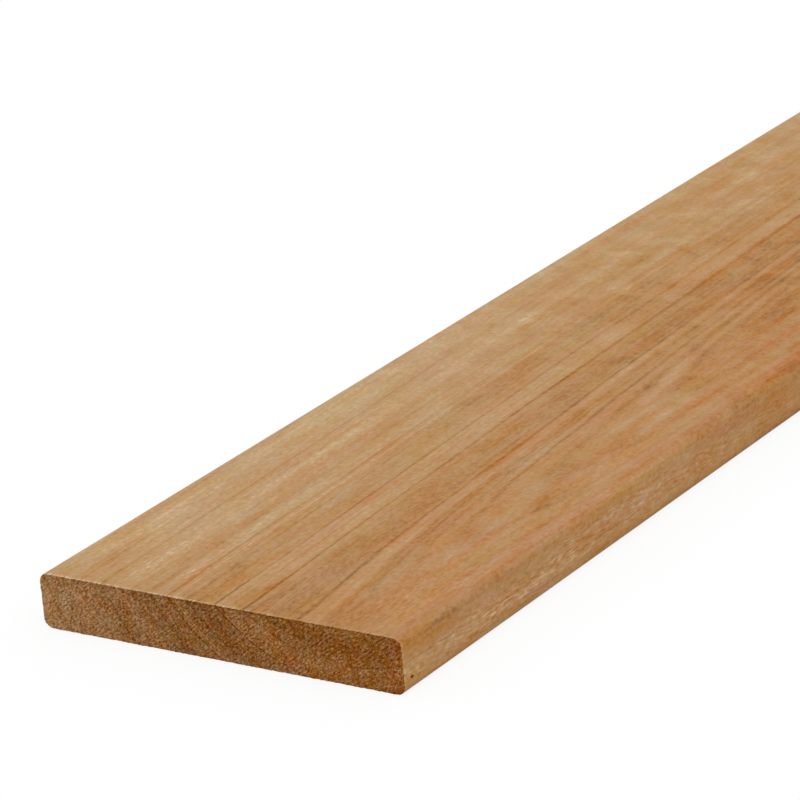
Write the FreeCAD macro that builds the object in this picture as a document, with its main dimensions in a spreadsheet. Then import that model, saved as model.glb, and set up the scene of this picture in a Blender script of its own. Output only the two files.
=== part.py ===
"""A smooth hardwood decking board: one length of planed timber with four rounded arrises.

The board is one piece of wood. A moulder planes a single section along the whole length, and a saw
cuts both ends square, so the model is that section, drawn once and padded along the length.

Frame, in millimetres: X along the length, Y across the width, Z up from the underside.
The origin is in the middle of the underside, which lies on the joists.
"""

import FreeCAD
import Part
import Sketcher
import enum
import math
import os

# Driving dimensions in millimetres: the cell's alias, its value and what it measures.
DIMENSIONS = (
    ("board_length", 1850, "from one sawn end to the other"),
    ("board_width", 145, "over the two long edges"),
    ("board_thickness", 20, "from the underside to the tread"),
    ("arris_radius", 3.5, "rounding of the four long arrises"),
)

SHEET_NAME = "dimensions"
BOARD_NAME = "decking_board"
PARTS_FOLDER = "parts"

VOLUME_TOLERANCE = 1e-6


class Point(enum.IntEnum):
    """How a sketch numbers the two ends of an edge."""

    START = 1
    END = 2


# A sketch keeps its own origin as the start of its horizontal axis, which is edge -1.
SKETCH_ORIGIN = (-1, Point.START)


def make_sheet(doc):
    """The spreadsheet of driving dimensions: name, value and meaning, one dimension to a row."""
    sheet = doc.addObject("Spreadsheet::Sheet", SHEET_NAME)
    for row, (alias, value, meaning) in enumerate(DIMENSIONS, start=1):
        sheet.set(f"A{row}", alias)
        sheet.set(f"B{row}", str(value))
        sheet.set(f"C{row}", meaning)
        sheet.setAlias(f"B{row}", alias)
    doc.recompute()
    return sheet


def origin_plane(body, role):
    """One of the body's own origin planes."""
    return next(feature for feature in body.Origin.OriginFeatures if feature.Role == role)


def line(start, end):
    """A straight edge of the section, between two (across, up) points."""
    return Part.LineSegment(FreeCAD.Vector(*start, 0), FreeCAD.Vector(*end, 0))


def quarter_round(centre, radius, start_degrees):
    """A quarter circle of the section, anticlockwise from start_degrees."""
    circle = Part.Circle(FreeCAD.Vector(*centre, 0), FreeCAD.Vector(0, 0, 1), radius)
    start = math.radians(start_degrees)
    return Part.ArcOfCircle(circle, start, start + math.pi / 2)


def section_outline(sheet):
    """The section's named edges, anticlockwise, where the constraints will hold them."""
    side = sheet.board_width / 2
    top = sheet.board_thickness
    radius = sheet.arris_radius
    across = side - radius
    up = top - radius
    return {
        "underside": line((-across, 0), (across, 0)),
        "lower right arris": quarter_round((across, radius), radius, 270),
        "right edge": line((side, radius), (side, up)),
        "upper right arris": quarter_round((across, up), radius, 0),
        "tread": line((across, top), (-across, top)),
        "upper left arris": quarter_round((-across, up), radius, 90),
        "left edge": line((-side, up), (-side, radius)),
        "lower left arris": quarter_round((-across, radius), radius, 180),
    }


def bind(sketch, constraint, alias):
    """Adds a dimension to the sketch and ties it to the spreadsheet cell of that name."""
    index = sketch.addConstraint(constraint)
    sketch.renameConstraint(index, alias)
    sketch.setExpression(f"Constraints.{alias}", f"{SHEET_NAME}.{alias}")


def draw_section(body, sheet):
    """The moulded section: flat tread and underside, square edges, and an arc at each arris."""
    sketch = body.newObject("Sketcher::SketchObject", "section")
    sketch.AttachmentSupport = [(origin_plane(body, "YZ_Plane"), "")]
    sketch.MapMode = "FlatFace"
    outline = section_outline(sheet)
    numbers = sketch.addGeometry(list(outline.values()), False)
    edge = dict(zip(outline, numbers))
    arrises = [edge[name] for name in outline if name.endswith("arris")]

    for first, second in zip(numbers, numbers[1:] + numbers[:1]):
        smooth = Sketcher.Constraint("Tangent", first, Point.END, second, Point.START)
        sketch.addConstraint(smooth)
    for flat in (edge["underside"], edge["tread"]):
        sketch.addConstraint(Sketcher.Constraint("Horizontal", flat))
    for upright in (edge["left edge"], edge["right edge"]):
        sketch.addConstraint(Sketcher.Constraint("Vertical", upright))
    for first, second in zip(arrises, arrises[1:]):
        sketch.addConstraint(Sketcher.Constraint("Equal", first, second))

    underside_start = (edge["underside"], Point.START)
    underside_end = (edge["underside"], Point.END)
    tread_start = (edge["tread"], Point.START)
    left_end = (edge["left edge"], Point.END)
    right_start = (edge["right edge"], Point.START)
    centred = Sketcher.Constraint("Symmetric", *underside_start, *underside_end, *SKETCH_ORIGIN)
    sketch.addConstraint(centred)
    width = Sketcher.Constraint("DistanceX", *left_end, *right_start, sheet.board_width)
    bind(sketch, width, "board_width")
    thickness = Sketcher.Constraint("DistanceY", *underside_end, *tread_start, sheet.board_thickness)
    bind(sketch, thickness, "board_thickness")
    radius = Sketcher.Constraint("Radius", arrises[0], sheet.arris_radius)
    bind(sketch, radius, "arris_radius")
    return sketch


def make_board(doc, sheet):
    """The board: the section padded along X, half the length each way from the origin."""
    body = doc.addObject("PartDesign::Body", BOARD_NAME)
    section = draw_section(body, sheet)
    length = body.newObject("PartDesign::Pad", "sawn_length")
    length.Profile = section
    length.SideType = "Symmetric"
    length.setExpression("Length", f"{SHEET_NAME}.board_length")
    doc.recompute()
    return body


def expected_volume(sheet):
    """What the board should measure: the rectangle less what the four arrises take off."""
    corner_waste = (4 - math.pi) * sheet.arris_radius**2
    area = sheet.board_width * sheet.board_thickness - corner_waste
    return area * sheet.board_length


def check(doc, body, sheet):
    """Stops the build if a feature failed or the solid isn't the board that the sheet describes."""
    for item in doc.Objects:
        if "Invalid" in item.State or "Error" in item.State:
            raise RuntimeError(f"{item.Label} failed: {item.State}")
    if body.Shape.isNull() or not body.Shape.isValid() or len(body.Shape.Solids) != 1:
        raise RuntimeError(f"{body.Label} is not one valid solid")
    volume = expected_volume(sheet)
    if abs(body.Shape.Volume - volume) > VOLUME_TOLERANCE * volume:
        raise RuntimeError(f"{body.Label} measures {body.Shape.Volume} mm3, not {volume}")


def main():
    doc = FreeCAD.newDocument("decking")
    sheet = make_sheet(doc)
    board = make_board(doc, sheet)
    check(doc, board, sheet)
    os.makedirs(PARTS_FOLDER, exist_ok=True)
    board.Shape.exportStep(os.path.join(PARTS_FOLDER, f"{board.Label}.step"))


if __name__ == "__main__":
    main()
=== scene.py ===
"""The looks of a hardwood decking board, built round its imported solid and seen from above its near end.

Blender works in metres in the solid's own frame: X along the board, Y across it, Z up from its underside.
The timber is described in millimetres along from the near end, across from the middle line and up from the
underside, because that is how a board is measured. The right edge is the one towards -Y.
"""

import math

import bpy
from mathutils import Matrix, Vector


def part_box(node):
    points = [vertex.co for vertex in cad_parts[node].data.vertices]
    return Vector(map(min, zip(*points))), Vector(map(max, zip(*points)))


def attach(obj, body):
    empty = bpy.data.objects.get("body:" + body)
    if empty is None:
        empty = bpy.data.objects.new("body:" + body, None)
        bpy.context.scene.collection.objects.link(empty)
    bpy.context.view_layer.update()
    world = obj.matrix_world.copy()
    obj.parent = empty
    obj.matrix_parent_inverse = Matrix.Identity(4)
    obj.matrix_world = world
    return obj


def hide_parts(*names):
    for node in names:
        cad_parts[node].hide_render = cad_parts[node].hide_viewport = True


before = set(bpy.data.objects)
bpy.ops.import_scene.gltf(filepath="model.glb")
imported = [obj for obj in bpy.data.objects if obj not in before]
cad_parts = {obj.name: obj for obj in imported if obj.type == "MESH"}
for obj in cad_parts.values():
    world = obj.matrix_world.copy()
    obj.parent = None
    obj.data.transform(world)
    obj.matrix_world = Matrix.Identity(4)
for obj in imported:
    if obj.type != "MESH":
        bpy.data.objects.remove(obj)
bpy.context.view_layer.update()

MM = 0.001
BOARD_NODE = "decking_board"
LOW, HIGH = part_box(BOARD_NODE)
LENGTH, WIDTH, THICKNESS = HIGH - LOW
HALF_LENGTH_MM = LENGTH / 2 / MM

# The moulded and sawn shape, in millimetres.
ARRIS_RADIUS = 3.5
ARRIS_STEPS = 8
SAWN_LIP = 0.2
SMOOTH_ANGLE = math.radians(30)
# The spacing of the mesh's cuts across and up the board, and along it.
NET_PITCH = 0.6
NET_ALONG = 40
# Cuts near each end, measured from it, so that the torn lip has something to bend.
END_CUTS = (0.7, 1.3, 2.4, 4.6, 9, 18)
# How far the saw left the end uneven and its lip torn, and the size of that unevenness.
SAWN_ROUGHNESS = 0.25
SAWN_GRAIN = 1.1
TORN_REACH = 0.7
TORN_GRAIN = 0.9
# How far in from the nominal end the middle of a sawn face can lie.
SAWN_LIMIT = 0.6 * SAWN_LIP + SAWN_ROUGHNESS
# A hair's breadth, by which a test of a place allows for rounding.
HAIR = 0.05
# A shot hole in the right edge, as a boring insect leaves it: the middle of its mouth, and its depth.
HOLE_ALONG = 4.2
HOLE_UP = 5.3
HOLE_DEPTH = 6.0
# Its flattened cutter, which tapers from its outer end to its tip and stands out as far as it reaches in.
CUTTER_WIDTH = 2.2
CUTTER_HEIGHT = 1.3
CUTTER_TIP = 2 / 3
CUTTER_SIDES = 14
# A face this near the hole's axis, as a share of the cutter's width and height, is in the hole.
HOLE_REACH = 0.55

# The skin laid flat on a sheet of size 1: the long faces below, the ends and the hole in a row above them.
LAYOUT_NAME = "OFBake"
LAYOUT_MARGIN = 0.005
LONG_HEIGHT = 0.88
END_ROW = 0.9
END_WIDTH = 0.465
END_HEIGHT = 0.095
HOLE_SPOT = (0.5, 0.947)
HOLE_SCALE = 0.012
# The corners of an end's faces lie past the first cut by at least this, in millimetres.
CUT_MARGIN = 0.01

# The tree that the board came out of, in millimetres: where its pith ran, and how far it swayed.
PITH_ACROSS = -50
PITH_UP = 69
PITH_SWAY_ACROSS = 7.5
PITH_SWAY_UP = -14
# The length along the board of one radian of that sway.
PITH_SWAY_LENGTH = 440

# Broad growth bands: radius from the pith in millimetres, and how pale the wood is there from 0 to 1.
GROWTH_BANDS = (
    (34, 0.40), (43, 0.44), (47, 0.48), (49, 0.37), (51, 0.55), (53, 0.34), (56, 0.32),
    (60, 0.41), (65, 0.60), (70, 0.55), (76, 0.42), (81, 0.52), (87, 0.63), (91, 0.54),
    (95, 0.55), (101, 0.72), (105, 0.64), (108, 0.57), (113, 0.65), (121, 0.72), (128, 0.62),
    (136, 0.70), (143, 0.57), (152, 0.66),
)
BAND_MIDDLE = 0.5

# Narrow growth lines: radius, half width, and depth of tone, which is negative where a line is pale.
GROWTH_LINES = (
    (37.5, 0.7, 0.34), (39.2, 0.4, -0.22), (40.6, 0.5, 0.46), (42.4, 0.45, 0.50), (43.3, 0.4, -0.22),
    (44.4, 0.5, 0.40), (46.4, 0.4, 0.44), (47.6, 0.3, 0.22), (48.7, 0.4, 0.16), (49.4, 0.3, 0.10),
    (50.2, 0.5, -0.12), (52, 0.5, 0.36), (53.6, 0.4, 0.12), (56.4, 0.5, 0.06), (58.4, 0.5, 0.10),
    (60.2, 0.4, 0.08), (62.4, 0.6, 0.46), (63.6, 0.4, -0.10), (66.3, 0.5, 0.10), (68.2, 0.4, 0.10),
    (70.2, 0.65, 0.42), (72.8, 0.5, 0.10), (75, 0.6, 0.12), (78.6, 0.9, 0.15), (80.6, 0.5, 0.17),
    (82.6, 0.5, -0.22), (84.6, 0.9, 0.22), (91.4, 0.8, 0.15), (96.8, 0.7, 0.07), (104.4, 0.7, 0.07),
    (108.3, 0.9, 0.16), (116, 0.9, 0.06), (125.5, 0.9, 0.10), (131, 0.8, 0.08), (139, 1.1, 0.12),
    (147.5, 0.9, 0.10),
)

# Cloudy marks of this one board, and painted shade along its right arrises: place along, across and up;
# length, width and height; change of tone.
DARK_MARKS_AND_PAINTED_SHADE = (
    ((30, 11, 20), (14, 7, 8), 0.16), ((43, 29, 20), (9, 8, 8), 0.14), ((22, 57, 20), (40, 9, 8), 0.20),
    ((116, -56, 20), (26, 12, 8), 0.16), ((0, 24, 23), (58, 280, 8), 0.20),
    ((194, 19, 20), (28, 7, 8), 0.06), ((2, 56, 23), (12, 40, 8), 0.18), ((10, -10, 23), (36, 22, 8), 0.22),
    ((238, 5, 20), (16, 22, 8), 0.05), ((293, 8, 20), (30, 30, 8), 0.07),
    ((281, 23, 20), (20, 10, 8), 0.06), ((314, 40, 20), (18, 8, 8), 0.08),
    ((342, 39, 20), (22, 8, 8), 0.04), ((403, 26, 20), (34, 9, 8), 0.07),
    # These two darken the upper right arris: partly its own reddish streak, partly painted shade that holds
    # down the lamp's highlight on it.
    ((30, -72, 17.4), (80, 9, 2.8), 0.17), ((250, -72, 18.5), (170, 9, 5), 0.20),
    # These two are painted shade along the bottom right arris, which faces down towards the floor.
    ((260, -72, 0), (560, 8, 9), 0.32), ((60, -72, 4.2), (150, 8, 3), 0.18),
)
PALE_MARKS = (
    ((20, 23, 20), (26, 6, 8), 0.13), ((22, 40, 20), (44, 12, 8), 0.12), ((62, 26, 20), (22, 6, 8), 0.08),
    ((118, 37, 20), (16, 12, 8), 0.07), ((151, 44, 20), (16, 15, 8), 0.06),
    ((308, 27, 20), (12, 16, 8), 0.20), ((332, 14, 20), (20, 14, 8), 0.15),
    ((248, 10, 20), (8, 16, 8), 0.10), ((268, 41, 20), (16, 18, 8), 0.14),
    ((364, 52, 20), (18, 12, 8), 0.12), ((350, 16, 20), (14, 18, 8), 0.12),
    ((410, 38, 20), (26, 12, 8), 0.13), ((60, -72, 8.5), (170, 6, 11), 0.18),
    ((190, -72, 9), (170, 6, 11), 0.17), ((310, -72, 9), (150, 6, 10), 0.12),
    ((46, -66, 20), (9, 6, 8), 0.12), ((88, -60, 20), (16, 6, 8), 0.08),
    ((160, -58, 20), (40, 12, 8), 0.06), ((30, -56, 20), (70, 26, 8), 0.08),
    ((130, -72, 14), (90, 6, 5), 0.14), ((210, -72, 16), (130, 6, 3), 0.10),
    ((125, -71, 18.2), (80, 6, 4), 0.08),
)
# A mark fades out from its core to its rim, both in halves of its size.
MARK_CORE = 0.1
MARK_RIM = 1.4

# The sizes of the timber's patterns along, across and up, in millimetres, and how far some of them push.
LAYER_WANDER = (170, 42, 42)
LAYER_WANDER_REACH = (0, 1.3, 1.3)
LAYER_RIPPLE = (34, 6, 6)
LAYER_RIPPLE_REACH = (0, 0.35, 0.35)
LINE_FADES = (90, 7, 7)
CLOUDS = (60, 20, 20)
MOTTLE = (10, 15, 15)
MOTTLE_EDGE = (16, 12, 12)
MOTTLE_EDGE_REACH = (9, 6, 6)
MARK_STREAKS = (14, 3, 3)
MARK_EDGE = (8, 5, 5)
MARK_EDGE_REACH = (8, 4, 1.5)
PALE_FLECKS = (4.6, 0.65, 0.65)
GRIT = (2.2, 1.4, 1.4)
SPECKLE = (9, 1.4, 0.62)
SAW_STROKES = (40, 6, 0.7)
WARM_PATCHES = (48, 6, 6)
DRY_PATCHES = (32, 5, 5)
# Fibres and pores are really finer than a fifth of a millimetre, so they are drawn wide enough to show.
FIBRES = (18, 0.4, 0.4)
PORES = (9, 0.75, 0.75)
PORE_EDGE = (0.18, 0.42)
# These follow the growth layers: a size along the board and one outwards from the pith; the third is idle.
LINE_BREAKS = (70, 2.5, 1)
BROAD_RINGS = (160, 1.8, 1)
FINE_RINGS = (50, 0.7, 1)
# Ray flecks: their size, how deep one runs outwards, and the radius at which their spacing is true.
RAY_SIZE = 0.8
RAY_DEPTH = 2.5
RAY_RADIUS = 90

# Stretches near either end, in millimetres from it, over which the middle's looks turn into the end's.
CRISP_ZONE = (320, 100)
FIGURE_ZONE = (260, 120)
OILY_ZONE = (340, 200)
LIP_ZONE = (1.3, 0.2)
# The middle's crispness as a share of the ends', and what else changes from the middle to the ends.
SOFTEST = 0.32
MIDDLE_DARKNESS = 0.055
MIDDLE_OIL = 0.02
MIDDLE_FIGURE = 0.25
END_FIGURE = 0.10
# Bands are faint to the right of the pith and clear to the left of it, at these distances across from it.
FAINT_SIDE = -20.0
CLEAR_SIDE = 14.0
FAINTEST = 0.4
# Lines and rings are faint where the layers lie flat, and grow clear over this distance.
SLOPE_ZONE = 36
FLATTEST = 0.30
# The powers of the grain's crispness by which a line narrows and deepens.
LINE_NARROWING = 0.8
LINE_DEEPENING = 0.6

# How far each pattern changes the tone.
RING_REACH = ((BROAD_RINGS, 0.42), (FINE_RINGS, 0.27))
CLOUD_REACH = 0.14
FLECK_REACH = 1.8
FLECK_LEVEL = 0.75
SOFT_GRIT = 0.50
CRISP_GRIT = 0.68
PLANED_PORES = -0.08
# The sawn edge's paleness: partly pale torn fibres, partly a painted highlight.
EDGE_PALENESS_AND_HIGHLIGHT = 2.2
EDGE_PALENESS_AND_HIGHLIGHT_REST = 0.36
SAWN_REACH = (("fibres", 0.6), ("speckle", 1.6), ("rays", 0.4), ("strokes", 0.7), ("dryness", 0.2))
SAWN_PORES = -0.3
# The end grain grows paler or darker from one place across it to another.
SAWN_LIFTS = ((10, -30, 0.10), (-40, -66, -0.04), (30, 66, 0.14))
# The pale torn fibres and the painted highlight along the sawn edge are faintest this far across to the
# right of the middle line, and this strong there.
FAINT_LIP_SIDE = -40.0
FAINT_LIP = 0.4
# The torn lip's shade on the end: where it starts and is full, in millimetres up, and how dark it is.
LIP_SHADE_FOOT = 18.4
LIP_SHADE_TOP = 19.7
LIP_SHADE = 0.08
# The saw's teeth drag the cut fibres over to one side, up to the right as the near end is seen.
SAW_SLANT = math.radians(37)

# The timber's tones from its dark growth lines to its palest, driest fibres.
PLANED_TONES = (
    (0.0, "#875727"), (0.2, "#a57137"), (0.35, "#b07f46"), (0.5, "#b68855"), (0.65, "#bb9263"),
    (0.8, "#c49d71"), (1.0, "#d6b593"),
)
SAWN_TONES = (
    (0.0, "#572e0a"), (0.2, "#724417"), (0.4, "#89592b"), (0.55, "#956638"), (0.75, "#a9794b"),
    (1.0, "#c49466"),
)
# Each scale's cast leans from the right to the left: its hue, where 0.5 is no turn, and its saturation.
PLANED_CAST = {"hue": (0.4955, 0.504), "saturation": (1.02, 0.97)}
SAWN_CAST = {"hue": (0.4955, 0.502), "saturation": (1.085, 0.98)}
CAST_SPAN = 60.0
# The right arris is redder and the right edge yellower: two places across, and the turn between them.
EDGE_CASTS = ((-64.0, -69.0, -0.007), (-71.0, -72.4, 0.010))
# How far warm patches turn the hue, and how far they and dry patches take colour away.
WARM_HUE = 0.043
WARM_SATURATION = -0.25
DRY_SATURATION = -0.36
WOOD_IOR = 1.5

# The camera that took the photograph, fitted to the board's edges: metres, degrees and millimetres of lens.
CAMERA_PLACE = (-2.0300, -0.8551, 0.6113)
CAMERA_AZIMUTH = -54.973
CAMERA_ELEVATION = 20.659
CAMERA_ROLL = -5.240
CAMERA_LENS = 209.54
CAMERA_REACH = 100

# Soft studio light: an even sky, and one wide lamp whose elevation and azimuth are in degrees.
SKY_STRENGTH = 0.83
LAMP_STRENGTH = 0.6
LAMP_ELEVATION = 65
LAMP_AZIMUTH = -16
LAMP_ANGLE = 50
FLOOR_SIZE = 24
# The floor lies a hair under the board, in millimetres, so that their two faces never share a plane.
FLOOR_GAP = 0.2
FLOOR_COLOUR = "#dadada"
FLOOR_WHITENESS = 0.88
WHITE = "#ffffff"


def linear(colour):
    """An sRGB hex colour as the linear RGBA that shaders work in."""
    channels = [int(colour[i:i + 2], 16) / 255 for i in (1, 3, 5)]
    return [c / 12.92 if c <= 0.04045 else ((c + 0.055) / 1.055) ** 2.4 for c in channels] + [1.0]


def add_node(tree, kind, inputs, output=0, **settings):
    """Adds a node with its settings, links or fills the inputs named, and gives back one output."""
    node = tree.nodes.new("ShaderNode" + kind)
    for name, value in settings.items():
        setattr(node, name, value)
    for name, value in inputs.items():
        if isinstance(value, bpy.types.NodeSocket):
            tree.links.new(value, node.inputs[name])
        else:
            node.inputs[name].default_value = value
    return node.outputs[output]


def set_stops(socket, stops):
    """Gives the colour ramp behind a socket its stops: a place from 0 to 1 and a linear colour for each."""
    elements = socket.node.color_ramp.elements
    while len(elements) > 1:
        elements.remove(elements[-1])
    for number, (place, colour) in enumerate(stops):
        stop = elements[0] if number == 0 else elements.new(place)
        stop.position = place
        stop.color = colour


def pattern(tree, place, size, detail=2.0, output=0):
    """Soft random patches of a real size in millimetres along, across and up, from 0 to 1."""
    steps = [1 / length for length in size]
    spot = add_node(tree, "VectorMath", {0: place, 1: steps}, operation="MULTIPLY")
    inputs = {"Vector": spot, "Scale": 1.0, "Detail": detail, "Roughness": 0.55}
    return add_node(tree, "TexNoise", inputs, output)


def sway(tree, place, size, reach):
    """A place pushed about by soft noise of a real size, as far as reach in each direction."""
    push = pattern(tree, place, size, output="Color")
    inputs = {0: push, 1: [2 * part for part in reach], 2: [-part for part in reach]}
    push = add_node(tree, "VectorMath", inputs, operation="MULTIPLY_ADD")
    return add_node(tree, "VectorMath", {0: place, 1: push}, operation="ADD")


def change_tone(tree, tone, noise, reach, rest=0.5):
    """The tone made paler or darker by a noise, which changes nothing where it is at rest."""
    inputs = {0: noise, 1: reach, 2: tone}
    tone = add_node(tree, "Math", inputs, operation="MULTIPLY_ADD")
    if isinstance(reach, bpy.types.NodeSocket):
        inputs = {0: reach, 1: -rest, 2: tone}
        return add_node(tree, "Math", inputs, operation="MULTIPLY_ADD")
    return add_node(tree, "Math", {0: tone, 1: reach * rest}, operation="SUBTRACT")


def near_ends(tree, from_middle, zone, middle, end, **settings):
    """A value that turns from the middle's into the ends' over a zone measured from either end."""
    start, stop = (HALF_LENGTH_MM - limit for limit in zone)
    inputs = {"Value": from_middle, "From Min": start, "From Max": stop, "To Min": middle, "To Max": end}
    return add_node(tree, "MapRange", inputs, **settings)


def follow_pith(tree, place):
    """The place as measured from the pith, with the small wanderings that growth layers have."""
    along = add_node(tree, "SeparateXYZ", {0: place}, "X")
    turn = add_node(tree, "Math", {0: along, 1: PITH_SWAY_LENGTH}, operation="DIVIDE")
    wave = add_node(tree, "Math", {0: turn}, operation="SINE")
    inputs = {0: wave, 1: PITH_SWAY_ACROSS, 2: PITH_ACROSS}
    across = add_node(tree, "Math", inputs, operation="MULTIPLY_ADD")
    inputs = {0: wave, 1: PITH_SWAY_UP, 2: PITH_UP}
    up = add_node(tree, "Math", inputs, operation="MULTIPLY_ADD")
    pith = add_node(tree, "CombineXYZ", {"Y": across, "Z": up})
    grain = add_node(tree, "VectorMath", {0: place, 1: pith}, operation="SUBTRACT")
    grain = sway(tree, grain, LAYER_WANDER, LAYER_WANDER_REACH)
    return along, sway(tree, grain, LAYER_RIPPLE, LAYER_RIPPLE_REACH)


def grow_bands(tree, radius, aside, fineness, contrast):
    """The tone of the broad growth bands, fainter to the right of the pith and where the grain is soft."""
    inner, outer = GROWTH_BANDS[0][0], GROWTH_BANDS[-1][0]
    share = add_node(tree, "MapRange", {"Value": radius, "From Min": inner, "From Max": outer})
    tone = add_node(tree, "ValToRGB", {0: share})
    set_stops(tone, [((r - inner) / (outer - inner), (pale, pale, pale, 1)) for r, pale in GROWTH_BANDS])
    inputs = {"Value": aside, "From Min": FAINT_SIDE, "From Max": CLEAR_SIDE}
    inputs.update({"To Min": FAINTEST * contrast, "To Max": contrast})
    clearness = add_node(tree, "MapRange", inputs, interpolation_type="SMOOTHSTEP")
    inputs = {"Value": fineness, "From Min": SOFTEST, "To Min": 0.82, "To Max": 1.0}
    inputs = {0: clearness, 1: add_node(tree, "MapRange", inputs)}
    clearness = add_node(tree, "Math", inputs, operation="MULTIPLY")
    # Inputs 2 and 3 are the two plain numbers that are mixed.
    return add_node(tree, "Mix", {0: clearness, 2: BAND_MIDDLE, 3: tone})


def draw_lines(tree, layers, grain, radius, crispness, slope):
    """The depth of the narrow growth lines, which come and go along the board and blur in soft grain."""
    narrowness = add_node(tree, "Math", {0: crispness, 1: LINE_NARROWING}, operation="POWER")
    lines = 0.0
    for middle, half_width, depth in GROWTH_LINES:
        off = add_node(tree, "Math", {0: radius, 1: middle}, operation="SUBTRACT")
        off = add_node(tree, "Math", {0: off}, operation="ABSOLUTE")
        off = add_node(tree, "Math", {0: off, 1: narrowness}, operation="MULTIPLY")
        inputs = {"Value": off, "From Max": half_width, "To Min": depth, "To Max": 0.0}
        line = add_node(tree, "MapRange", inputs, interpolation_type="SMOOTHSTEP")
        lines = add_node(tree, "Math", {0: lines, 1: line}, operation="ADD")

    inputs = {"Value": pattern(tree, layers, LINE_BREAKS), "From Min": 0.3, "From Max": 0.6}
    inputs.update({"To Min": 0.75, "To Max": 1.1})
    strength = add_node(tree, "MapRange", inputs)
    strength = add_node(tree, "Math", {0: strength, 1: slope}, operation="MULTIPLY")
    inputs = {"Value": pattern(tree, grain, LINE_FADES), "From Min": 0.36, "From Max": 0.6}
    inputs.update({"To Min": 0.7, "To Max": 1.1})
    inputs = {0: strength, 1: add_node(tree, "MapRange", inputs)}
    strength = add_node(tree, "Math", inputs, operation="MULTIPLY")
    lines = add_node(tree, "Math", {0: lines, 1: strength}, operation="MULTIPLY")
    deepness = add_node(tree, "Math", {0: crispness, 1: LINE_DEEPENING}, operation="POWER")
    return add_node(tree, "Math", {0: lines, 1: deepness}, operation="MULTIPLY")


def grow_layers(tree, along, grain, radius, crispness, contrast, steep_at):
    """The tone of the growth layers: broad bands, narrow lines, and the fine rings between them."""
    layers = add_node(tree, "CombineXYZ", {"X": along, "Y": radius})
    aside = add_node(tree, "SeparateXYZ", {0: grain}, "Y")
    fineness = add_node(tree, "Math", {0: crispness, 1: 1.0}, operation="MINIMUM")
    tone = grow_bands(tree, radius, aside, fineness, contrast)

    inputs = {"Value": aside, "From Min": steep_at - SLOPE_ZONE, "From Max": steep_at}
    inputs.update({"To Min": FLATTEST, "To Max": 1.0})
    slope = add_node(tree, "MapRange", inputs, interpolation_type="SMOOTHSTEP")
    lines = draw_lines(tree, layers, grain, radius, crispness, slope)
    tone = add_node(tree, "Math", {0: tone, 1: lines}, operation="SUBTRACT")
    slope = add_node(tree, "Math", {0: slope, 1: fineness}, operation="MULTIPLY")
    for size, reach in RING_REACH:
        reach = add_node(tree, "Math", {0: slope, 1: reach * contrast}, operation="MULTIPLY")
        tone = change_tone(tree, tone, pattern(tree, layers, size, detail=3.0), reach)
    return tone


def gather_marks(tree, place, marks):
    """How far a place lies in any of the cloudy marks, as a change of tone."""
    total = 0.0
    for middle, size, change in marks:
        spot = add_node(tree, "VectorMath", {0: place, 1: middle}, operation="SUBTRACT")
        inputs = {0: spot, 1: [2 / length for length in size]}
        spot = add_node(tree, "VectorMath", inputs, operation="MULTIPLY")
        off = add_node(tree, "VectorMath", {0: spot}, "Value", operation="LENGTH")
        inputs = {"Value": off, "From Min": MARK_CORE, "From Max": MARK_RIM}
        inputs.update({"To Min": change, "To Max": 0.0})
        mark = add_node(tree, "MapRange", inputs, interpolation_type="SMOOTHSTEP")
        total = add_node(tree, "Math", {0: total, 1: mark}, operation="ADD")
    return total


def add_marks(tree, tone, place, grain, crispness):
    """The tone with this board's marks and the painted shade along its right arrises: dark ones streaked,
    pale ones flecked where the grain is crisp.
    """
    ragged = sway(tree, place, MARK_EDGE, MARK_EDGE_REACH)
    dark = gather_marks(tree, ragged, DARK_MARKS_AND_PAINTED_SHADE)
    streaks = pattern(tree, grain, MARK_STREAKS, detail=3.0)
    inputs = {"Value": streaks, "From Min": 0.3, "From Max": 0.7, "To Min": 0.6, "To Max": 1.4}
    streaks = add_node(tree, "MapRange", inputs)
    dark = add_node(tree, "Math", {0: dark, 1: streaks}, operation="MULTIPLY")
    tone = add_node(tree, "Math", {0: tone, 1: dark}, operation="SUBTRACT")

    pale = gather_marks(tree, ragged, PALE_MARKS)
    inputs = {"Value": pattern(tree, grain, PALE_FLECKS), "From Min": 0.35, "From Max": 0.65}
    inputs.update({"To Min": -FLECK_REACH, "To Max": FLECK_REACH})
    flecks = add_node(tree, "MapRange", inputs)
    inputs = {0: flecks, 1: crispness, 2: FLECK_LEVEL}
    flecks = add_node(tree, "Math", inputs, operation="MULTIPLY_ADD")
    return add_node(tree, "Math", {0: pale, 1: flecks, 2: tone}, operation="MULTIPLY_ADD")


def find_rays(tree, along, flat, radius):
    """Ray flecks: thin sheets of cells that run out from the pith across the growth layers."""
    outward = add_node(tree, "VectorMath", {0: flat}, operation="NORMALIZE")
    inputs = {0: outward, 1: (0, RAY_RADIUS, RAY_RADIUS), 2: add_node(tree, "CombineXYZ", {"X": along})}
    spot = add_node(tree, "VectorMath", inputs, operation="MULTIPLY_ADD")
    depth = add_node(tree, "Math", {0: radius, 1: RAY_DEPTH}, operation="DIVIDE")
    inputs = {"Vector": spot, "W": depth, "Scale": 1 / RAY_SIZE, "Detail": 1.0}
    return add_node(tree, "TexNoise", inputs, noise_dimensions="4D")


def find_pores(tree, grain):
    """Long open vessels along the grain: 1 inside a pore and 0 between them."""
    steps = [1 / length for length in PORES]
    spot = add_node(tree, "VectorMath", {0: grain, 1: steps}, operation="MULTIPLY")
    pores = add_node(tree, "TexVoronoi", {"Vector": spot, "Scale": 1.0}, "Distance")
    inputs = {"Value": pores, "To Min": 1.0, "To Max": 0.0}
    inputs.update(zip(("From Min", "From Max"), PORE_EDGE))
    return add_node(tree, "MapRange", inputs, interpolation_type="SMOOTHSTEP")


def swap_ends(tree, place):
    """The place seen from the other end of the board, so that a second noise there is unlike the first."""
    return add_node(tree, "VectorMath", {0: place, 1: (-1, -1, -1)}, operation="MULTIPLY")


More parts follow.
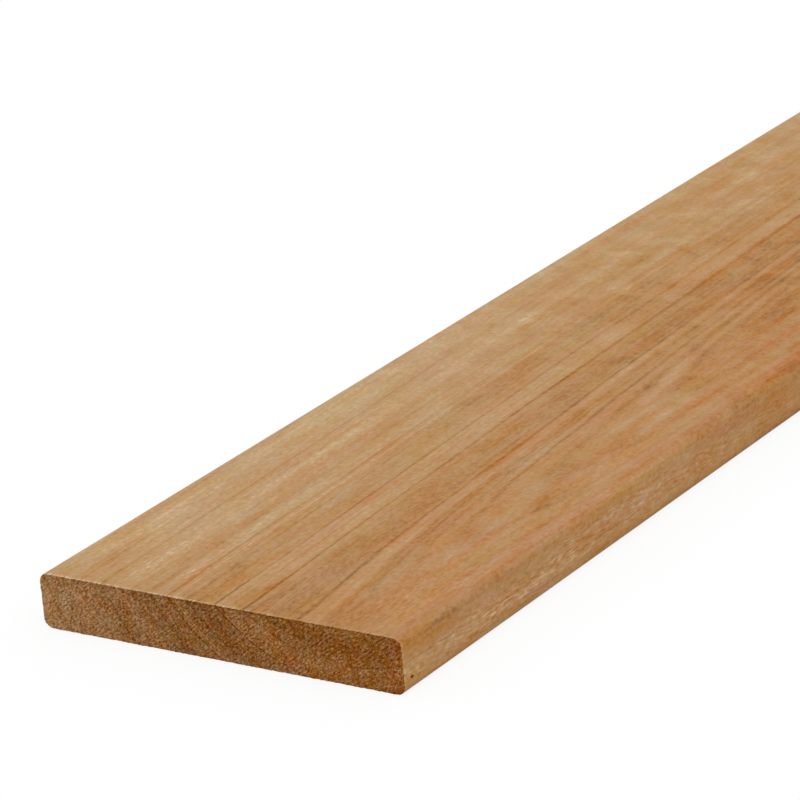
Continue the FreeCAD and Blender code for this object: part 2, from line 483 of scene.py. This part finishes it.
def grow_wood(tree, sharpness, contrast, steep_at):
    """The timber as a solid: growth layers round the pith, fibres, pores, the marks of this board and
    painted shade along its right arrises.

    Lines and rings are clearest from steep_at on, in millimetres to the left of the pith.
    """
    metres = add_node(tree, "TexCoord", {}, "Object")
    inputs = {0: metres, 1: [1 / MM] * 3, 2: (HALF_LENGTH_MM, 0, 0)}
    place = add_node(tree, "VectorMath", inputs, operation="MULTIPLY_ADD")
    along, grain = follow_pith(tree, place)
    flat = add_node(tree, "VectorMath", {0: grain, 1: (0, 1, 1)}, operation="MULTIPLY")
    radius = add_node(tree, "VectorMath", {0: flat}, "Value", operation="LENGTH")
    from_middle = add_node(tree, "Math", {0: along, 1: HALF_LENGTH_MM}, operation="SUBTRACT")
    from_middle = add_node(tree, "Math", {0: from_middle}, operation="ABSOLUTE")

    # The grain is crisp near the ends, and soft, mottled and a little darker across the middle.
    crispness = near_ends(tree, from_middle, CRISP_ZONE, SOFTEST * sharpness, sharpness)
    tone = grow_layers(tree, along, grain, radius, crispness, contrast, steep_at)
    darkness = near_ends(tree, from_middle, OILY_ZONE, MIDDLE_DARKNESS, 0.0)
    tone = add_node(tree, "Math", {0: tone, 1: darkness}, operation="SUBTRACT")
    tone = change_tone(tree, tone, pattern(tree, grain, CLOUDS), CLOUD_REACH)
    figure = near_ends(tree, from_middle, FIGURE_ZONE, MIDDLE_FIGURE, END_FIGURE)
    ragged = sway(tree, grain, MOTTLE_EDGE, MOTTLE_EDGE_REACH)
    mottle = pattern(tree, ragged, MOTTLE, detail=3.0)
    mottle = add_node(tree, "MapRange", {"Value": mottle, "From Min": 0.3, "From Max": 0.7})
    tone = change_tone(tree, tone, mottle, figure)
    tone = add_marks(tree, tone, place, grain, crispness)

    turned = add_node(tree, "VectorRotate", {"Vector": grain, "Angle": SAW_SLANT}, rotation_type="X_AXIS")
    return {
        "tone": tone,
        "across": add_node(tree, "SeparateXYZ", {0: place}, "Y"),
        "up": add_node(tree, "SeparateXYZ", {0: place}, "Z"),
        "from_middle": from_middle,
        "crispness": crispness,
        "oil": near_ends(tree, from_middle, OILY_ZONE, MIDDLE_OIL, 0.0),
        "pores": find_pores(tree, grain),
        "fibres": pattern(tree, grain, FIBRES, detail=3.0),
        "grit": pattern(tree, grain, GRIT),
        "speckle": pattern(tree, turned, SPECKLE, detail=1.0),
        "strokes": pattern(tree, turned, SAW_STROKES),
        "rays": find_rays(tree, along, flat, radius),
        "warmth": pattern(tree, grain, WARM_PATCHES, detail=3.0),
        "dryness": pattern(tree, swap_ends(tree, grain), DRY_PATCHES, detail=3.0),
    }


def tint(tree, wood, tone, tones, cast):
    """The timber's colour: its tone on a scale of tints, with a cast that wanders and leans across it."""
    colour = add_node(tree, "ValToRGB", {0: tone})
    set_stops(colour, [(place, linear(hue)) for place, hue in tones])

    # The wood is redder and richer nearer the pith, towards the right.
    inputs = {"Value": wood["across"], "From Min": -CAST_SPAN, "From Max": CAST_SPAN}
    inputs.update(zip(("To Min", "To Max"), cast["hue"]))
    hue = add_node(tree, "MapRange", inputs)
    inputs.update(zip(("To Min", "To Max"), cast["saturation"]))
    saturation = add_node(tree, "MapRange", inputs)
    for start, end, lean in EDGE_CASTS:
        inputs = {"Value": wood["across"], "From Min": start, "From Max": end, "To Max": lean}
        hue = add_node(tree, "Math", {0: hue, 1: add_node(tree, "MapRange", inputs)}, operation="ADD")

    # Dry fibres are greyer, and the oily ones between them are richer.
    hue = change_tone(tree, hue, wood["warmth"], WARM_HUE)
    saturation = change_tone(tree, saturation, wood["warmth"], WARM_SATURATION)
    saturation = change_tone(tree, saturation, wood["dryness"], DRY_SATURATION)
    saturation = add_node(tree, "Math", {0: saturation, 1: wood["oil"]}, operation="ADD")
    return add_node(tree, "HueSaturation", {"Hue": hue, "Saturation": saturation, "Color": colour})


def new_material(name):
    """An empty material: itself, its tree and the surface socket to link a shader to."""
    material = bpy.data.materials.new(name)
    material.use_nodes = True
    tree = material.node_tree
    tree.nodes.clear()
    output = tree.nodes.new("ShaderNodeOutputMaterial")
    return material, tree, output.inputs["Surface"]


def planed_hardwood():
    """Golden tropical hardwood off a moulder: fine dull gloss, long pores, dark growth lines."""
    material, tree, surface = new_material("planed_golden_hardwood")
    wood = grow_wood(tree, sharpness=1.0, contrast=1.0, steep_at=32)
    inputs = {"Value": wood["crispness"], "From Min": SOFTEST, "To Min": SOFT_GRIT, "To Max": CRISP_GRIT}
    grit = add_node(tree, "MapRange", inputs)
    tone = wood["tone"]
    for name, reach in (("fibres", 0.10), ("grit", grit), ("rays", 0.24), ("dryness", 0.07)):
        tone = change_tone(tree, tone, wood[name], reach)
    tone = change_tone(tree, tone, wood["pores"], PLANED_PORES, rest=0.0)

    # Torn fibres stand up dry and pale along the sawn edge, and a painted highlight brightens that edge,
    # both less so towards the right.
    lip = near_ends(tree, wood["from_middle"], LIP_ZONE, 0.0, EDGE_PALENESS_AND_HIGHLIGHT, interpolation_type="SMOOTHSTEP")
    inputs = {"Value": wood["across"], "From Min": FAINT_LIP_SIDE, "From Max": 0.0, "To Min": FAINT_LIP}
    lip = add_node(tree, "Math", {0: lip, 1: add_node(tree, "MapRange", inputs)}, operation="MULTIPLY")
    tone = change_tone(tree, tone, wood["speckle"], lip, rest=EDGE_PALENESS_AND_HIGHLIGHT_REST)
    colour = tint(tree, wood, tone, PLANED_TONES, PLANED_CAST)

    roughness = add_node(tree, "MapRange", {"Value": wood["fibres"], "To Min": 0.5, "To Max": 0.66})
    inputs = {0: wood["pores"], 1: -0.6, 2: wood["fibres"]}
    height = add_node(tree, "Math", inputs, operation="MULTIPLY_ADD")
    bump = add_node(tree, "Bump", {"Height": height, "Strength": 0.3, "Distance": 0.15 * MM})
    inputs = {"Base Color": colour, "Roughness": roughness, "Normal": bump}
    inputs.update({"IOR": WOOD_IOR, "Specular IOR Level": 0.18})
    shader = add_node(tree, "BsdfPrincipled", inputs)
    tree.links.new(shader, surface)
    return material


def sawn_end_grain():
    """The same timber cut across by a saw: open pores that drink the light, and a rough, dull face."""
    material, tree, surface = new_material("sawn_hardwood_end_grain")
    wood = grow_wood(tree, sharpness=1.7, contrast=0.72, steep_at=50)
    tone = wood["tone"]
    for name, reach in SAWN_REACH:
        tone = change_tone(tree, tone, wood[name], reach)
    tone = change_tone(tree, tone, wood["pores"], SAWN_PORES, rest=0.0)

    for start, end, lift in SAWN_LIFTS:
        inputs = {"Value": wood["across"], "From Min": start, "From Max": end, "To Max": lift}
        tone = add_node(tree, "Math", {0: tone, 1: add_node(tree, "MapRange", inputs)}, operation="ADD")
    inputs = {"Value": wood["up"], "From Min": LIP_SHADE_FOOT, "From Max": LIP_SHADE_TOP}
    inputs.update({"To Max": LIP_SHADE})
    shade = add_node(tree, "MapRange", inputs, interpolation_type="SMOOTHSTEP")
    tone = add_node(tree, "Math", {0: tone, 1: shade}, operation="SUBTRACT")
    colour = tint(tree, wood, tone, SAWN_TONES, SAWN_CAST)

    inputs = {0: wood["pores"], 1: -1.0, 2: wood["strokes"]}
    height = add_node(tree, "Math", inputs, operation="MULTIPLY_ADD")
    bump = add_node(tree, "Bump", {"Height": height, "Strength": 0.5, "Distance": 0.2 * MM})
    inputs = {"Base Color": colour, "Roughness": 0.85, "Normal": bump}
    inputs.update({"IOR": WOOD_IOR, "Specular IOR Level": 0.17})
    shader = add_node(tree, "BsdfPrincipled", inputs)
    tree.links.new(shader, surface)
    return material


def seen_rays(tree):
    """1 for the rays that look at the background, straight from the camera or by way of gloss or glass."""
    seen = add_node(tree, "LightPath", {}, "Is Camera Ray")
    for kind in ("Is Glossy Ray", "Is Transmission Ray"):
        ray = add_node(tree, "LightPath", {}, kind)
        seen = add_node(tree, "Math", {0: seen, 1: ray}, operation="MAXIMUM")
    return seen


def studio_white():
    """A white paper floor: it shows nearly pure white and keeps a faint soft shadow."""
    material, tree, surface = new_material("studio_white_paper")
    seen = seen_rays(tree)
    # Inputs 6 and 7 and output 2 are the colours of the mix.
    inputs = {0: seen, 6: linear(FLOOR_COLOUR), 7: linear(WHITE)}
    shade = add_node(tree, "Mix", inputs, 2, data_type="RGBA")
    paper = add_node(tree, "BsdfDiffuse", {"Color": shade})
    glow = add_node(tree, "Emission", {"Color": linear(WHITE), "Strength": 1.0})
    share = add_node(tree, "Math", {0: seen, 1: FLOOR_WHITENESS}, operation="MULTIPLY")
    shader = add_node(tree, "MixShader", {0: share, 1: paper, 2: glow})
    tree.links.new(shader, surface)
    return material


def select_edges(board, chosen):
    """Selects, in edit mode, the edges whose two end points the test accepts."""
    bpy.ops.object.mode_set(mode="EDIT")
    bpy.ops.mesh.select_mode(type="EDGE")
    bpy.ops.mesh.select_all(action="DESELECT")
    bpy.ops.object.mode_set(mode="OBJECT")
    mesh = board.data
    for edge in mesh.edges:
        start, end = (mesh.vertices[number].co for number in edge.vertices)
        edge.select = chosen(start, end)
    bpy.ops.object.mode_set(mode="EDIT")


def cut_net(axis, places):
    """Cuts the whole mesh square to an axis at each place, in metres."""
    normal = [float(number == axis) for number in range(3)]
    for place in places:
        bpy.ops.mesh.select_all(action="SELECT")
        point = [place * part for part in normal]
        bpy.ops.mesh.bisect(plane_co=point, plane_no=normal, threshold=MM / 1000)


def spread(low, high, pitch):
    """Evenly spaced places from low to high, about a pitch apart."""
    count = round((high - low) / pitch)
    return [low + (high - low) * number / count for number in range(count + 1)]


def displace(board, name, chosen, grain, reach):
    """Pushes the chosen points in and out along the board by a cloudy noise of a real size."""
    group = board.vertex_groups.new(name=name)
    group.add([point.index for point in board.data.vertices if chosen(point.co)], 1.0, "REPLACE")
    texture = bpy.data.textures.new(name, "CLOUDS")
    texture.noise_scale = grain * MM
    texture.noise_depth = 1
    modifier = board.modifiers.new(name, "DISPLACE")
    modifier.vertex_group = name
    modifier.texture = texture
    modifier.texture_coords = "LOCAL"
    modifier.direction = "X"
    modifier.strength = reach * MM
    bpy.ops.object.modifier_apply(modifier=name)


def on_end(point):
    """Whether a point lies on a sawn end or its lip."""
    return abs(point.x) > LENGTH / 2 - (SAWN_LIP + HAIR) * MM


def inside_rim(point):
    """Whether a point of the sawn end lies on its flat, clear of the torn lip."""
    inset = (ARRIS_RADIUS + SAWN_LIP) * MM
    side = max(abs(point.y) - (WIDTH / 2 - inset), 0)
    rise = max(abs(point.z - THICKNESS / 2) - (THICKNESS / 2 - inset), 0)
    return math.hypot(side, rise) < (ARRIS_RADIUS - HAIR) * MM


def on_lip(point):
    """Whether a point lies on a sawn end's torn lip."""
    return on_end(point) and not inside_rim(point)


def from_hole(point):
    """How far along and up a point lies from the shot hole's axis, in millimetres."""
    return (point.x - LOW.x) / MM - HOLE_ALONG, (point.z - LOW.z) / MM - HOLE_UP


def inside_hole(point):
    """Whether a point lies below the right edge's face, in the shot hole."""
    along, rise = from_hole(point)
    off_axis = math.hypot(along / CUTTER_WIDTH, rise / CUTTER_HEIGHT)
    depth = (point.y - LOW.y) / MM
    return off_axis < HOLE_REACH and HAIR < depth < HOLE_DEPTH + HAIR


def bore_hole(board):
    """Cuts the shot hole into the right edge with a flattened, tapered cutter."""
    place = (LOW.x + HOLE_ALONG * MM, LOW.y, LOW.z + HOLE_UP * MM)
    radius = CUTTER_WIDTH / 2 * MM
    bpy.ops.object.select_all(action="DESELECT")
    bpy.ops.mesh.primitive_cone_add(
        vertices=CUTTER_SIDES, radius1=radius, radius2=radius * CUTTER_TIP,
        depth=2 * HOLE_DEPTH * MM, location=place, rotation=(math.radians(-90), 0, 0),
        scale=(1, CUTTER_HEIGHT / CUTTER_WIDTH, 1),
    )
    cutter = bpy.context.object
    bpy.context.view_layer.objects.active = board
    modifier = board.modifiers.new("shot_hole", "BOOLEAN")
    modifier.object = cutter
    modifier.operation = "DIFFERENCE"
    modifier.solver = "EXACT"
    bpy.ops.object.modifier_apply(modifier="shot_hole")
    bpy.data.objects.remove(cutter)
    board.select_set(True)


def model_board():
    """The board: a sawn block, its arrises moulded round, its ends' sharp edge broken by the saw."""
    bpy.ops.object.select_all(action="DESELECT")
    bpy.ops.mesh.primitive_cube_add(size=1, location=(LOW + HIGH) / 2, scale=HIGH - LOW)
    board = bpy.context.object
    board.name = "planed_board"
    bpy.ops.object.transform_apply(location=True, rotation=True, scale=True)

    radius = ARRIS_RADIUS * MM
    select_edges(board, lambda start, end: abs(start.x - end.x) > LENGTH / 2)
    bpy.ops.mesh.bevel(offset=radius, segments=ARRIS_STEPS, profile=0.5, affect="EDGES")
    select_edges(board, lambda start, end: abs(start.x - end.x) < LENGTH / 2)
    bpy.ops.mesh.bevel(offset=SAWN_LIP * MM, segments=1, affect="EDGES")

    side = WIDTH / 2 - radius
    cut_net(1, spread(-side, side, NET_PITCH * MM))
    cut_net(2, spread(LOW.z + radius, HIGH.z - radius, NET_PITCH * MM))
    ends = [end * (LENGTH / 2 - cut * MM) for cut in END_CUTS for end in (-1, 1)]
    inner = LENGTH / 2 - END_CUTS[-1] * MM
    cut_net(0, ends + spread(-inner, inner, NET_ALONG * MM)[1:-1])
    bpy.ops.object.mode_set(mode="OBJECT")

    displace(board, "sawn_face", on_end, SAWN_GRAIN, SAWN_ROUGHNESS)
    displace(board, "torn_lip", on_lip, TORN_GRAIN, TORN_REACH)
    bore_hole(board)
    return board


def climb(point):
    """How far up a long edge a point lies, measured round its arrises from the underside, in metres."""
    radius = ARRIS_RADIUS * MM
    out = abs(point.y) - (WIDTH / 2 - radius)
    up = point.z - LOW.z
    top = THICKNESS - radius
    if up < radius:
        return radius * math.atan2(out, radius - up)
    if up < top:
        return radius * math.pi / 2 + up - radius
    return radius * (math.pi / 2 + math.atan2(up - top, out)) + top - radius


def unroll(point, centre):
    """Where a point of a face lies, from 0 to 1, once the faces round the section are unrolled in turn."""
    half = WIDTH / 2 - ARRIS_RADIUS * MM
    edge = THICKNESS + (math.pi - 2) * ARRIS_RADIUS * MM
    if centre.y < -half:
        way = 2 * half + climb(point)
    elif centre.y > half:
        way = 4 * half + 2 * edge - climb(point)
    elif centre.z > (LOW.z + HIGH.z) / 2:
        way = 3 * half + edge + point.y
    else:
        way = half - point.y
    return way / (4 * half + 2 * edge)


def lay_out(board):
    """A flat layout of the skin: the long faces unrolled, and the ends and the shot hole in a row above."""
    mesh = board.data
    layer = mesh.uv_layers.new(name=LAYOUT_NAME).data
    first_cut = LENGTH / 2 - (END_CUTS[0] - CUT_MARGIN) * MM
    for face in mesh.polygons:
        corners = [mesh.vertices[number].co for number in face.vertices]
        at_end = all(abs(point.x) > first_cut for point in corners)
        in_hole = inside_hole(face.center)
        for loop, point in zip(face.loop_indices, corners):
            if in_hole:
                along, rise = from_hole(point)
                u = HOLE_SPOT[0] + HOLE_SCALE * along
                v = HOLE_SPOT[1] + HOLE_SCALE * rise
            elif at_end:
                start = LAYOUT_MARGIN if point.x < 0 else 1 - LAYOUT_MARGIN - END_WIDTH
                u = start + END_WIDTH * (point.y - LOW.y) / WIDTH
                v = END_ROW + END_HEIGHT * (point.z - LOW.z) / THICKNESS
            else:
                u = LAYOUT_MARGIN + (1 - 2 * LAYOUT_MARGIN) * (point.x - LOW.x) / LENGTH
                v = LAYOUT_MARGIN + LONG_HEIGHT * unroll(point, face.center)
            layer[loop].uv = (u, v)


def finish_board(board):
    """Gives the planed faces and the sawn ends their own material, smooth arrises and a flat layout."""
    board.data.materials.append(planed_hardwood())
    board.data.materials.append(sawn_end_grain())
    for face in board.data.polygons:
        at_end = abs(face.center.x) > LENGTH / 2 - SAWN_LIMIT * MM
        sawn = at_end and inside_rim(face.center)
        face.material_index = int(sawn or inside_hole(face.center))
    bpy.ops.object.shade_smooth_by_angle(angle=SMOOTH_ANGLE)
    lay_out(board)


def add_camera():
    """The camera at the photograph's place, with a long lens and no depth of field."""
    camera = bpy.data.objects.new("camera", bpy.data.cameras.new("camera"))
    bpy.context.scene.collection.objects.link(camera)
    camera.data.lens = CAMERA_LENS
    camera.data.clip_end = CAMERA_REACH
    turn = Matrix.Rotation(math.radians(CAMERA_AZIMUTH), 4, "Z")
    tilt = Matrix.Rotation(math.radians(90 - CAMERA_ELEVATION), 4, "X")
    roll = Matrix.Rotation(math.radians(CAMERA_ROLL), 4, "Z")
    camera.matrix_world = Matrix.Translation(CAMERA_PLACE) @ turn @ tilt @ roll
    bpy.context.scene.camera = camera


def add_studio():
    """A white floor, an even white sky and one wide soft lamp from above the board's right edge."""
    bpy.ops.object.select_all(action="DESELECT")
    level = LOW.z - FLOOR_GAP * MM
    bpy.ops.mesh.primitive_plane_add(size=FLOOR_SIZE, location=(0, 0, level))
    floor = bpy.context.object
    floor.name = "studio_floor"
    floor.data.materials.append(studio_white())

    world = bpy.data.worlds.new("studio_sky")
    world.use_nodes = True
    bpy.context.scene.world = world
    tree = world.node_tree
    seen = seen_rays(tree)
    strength = add_node(tree, "MapRange", {"Value": seen, "To Min": SKY_STRENGTH, "To Max": 1.0})
    sky = tree.nodes["Background"]
    sky.inputs["Color"].default_value = linear(WHITE)
    tree.links.new(strength, sky.inputs["Strength"])

    lamp = bpy.data.objects.new("soft_lamp", bpy.data.lights.new("soft_lamp", "SUN"))
    bpy.context.scene.collection.objects.link(lamp)
    lamp.data.energy = LAMP_STRENGTH
    lamp.data.angle = math.radians(LAMP_ANGLE)
    lamp.rotation_euler = (math.radians(90 - LAMP_ELEVATION), 0, math.radians(LAMP_AZIMUTH))


bpy.context.scene.view_settings.view_transform = "Standard"
board = model_board()
finish_board(board)
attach(board, "root")
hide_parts(BOARD_NODE)
add_studio()
add_camera()
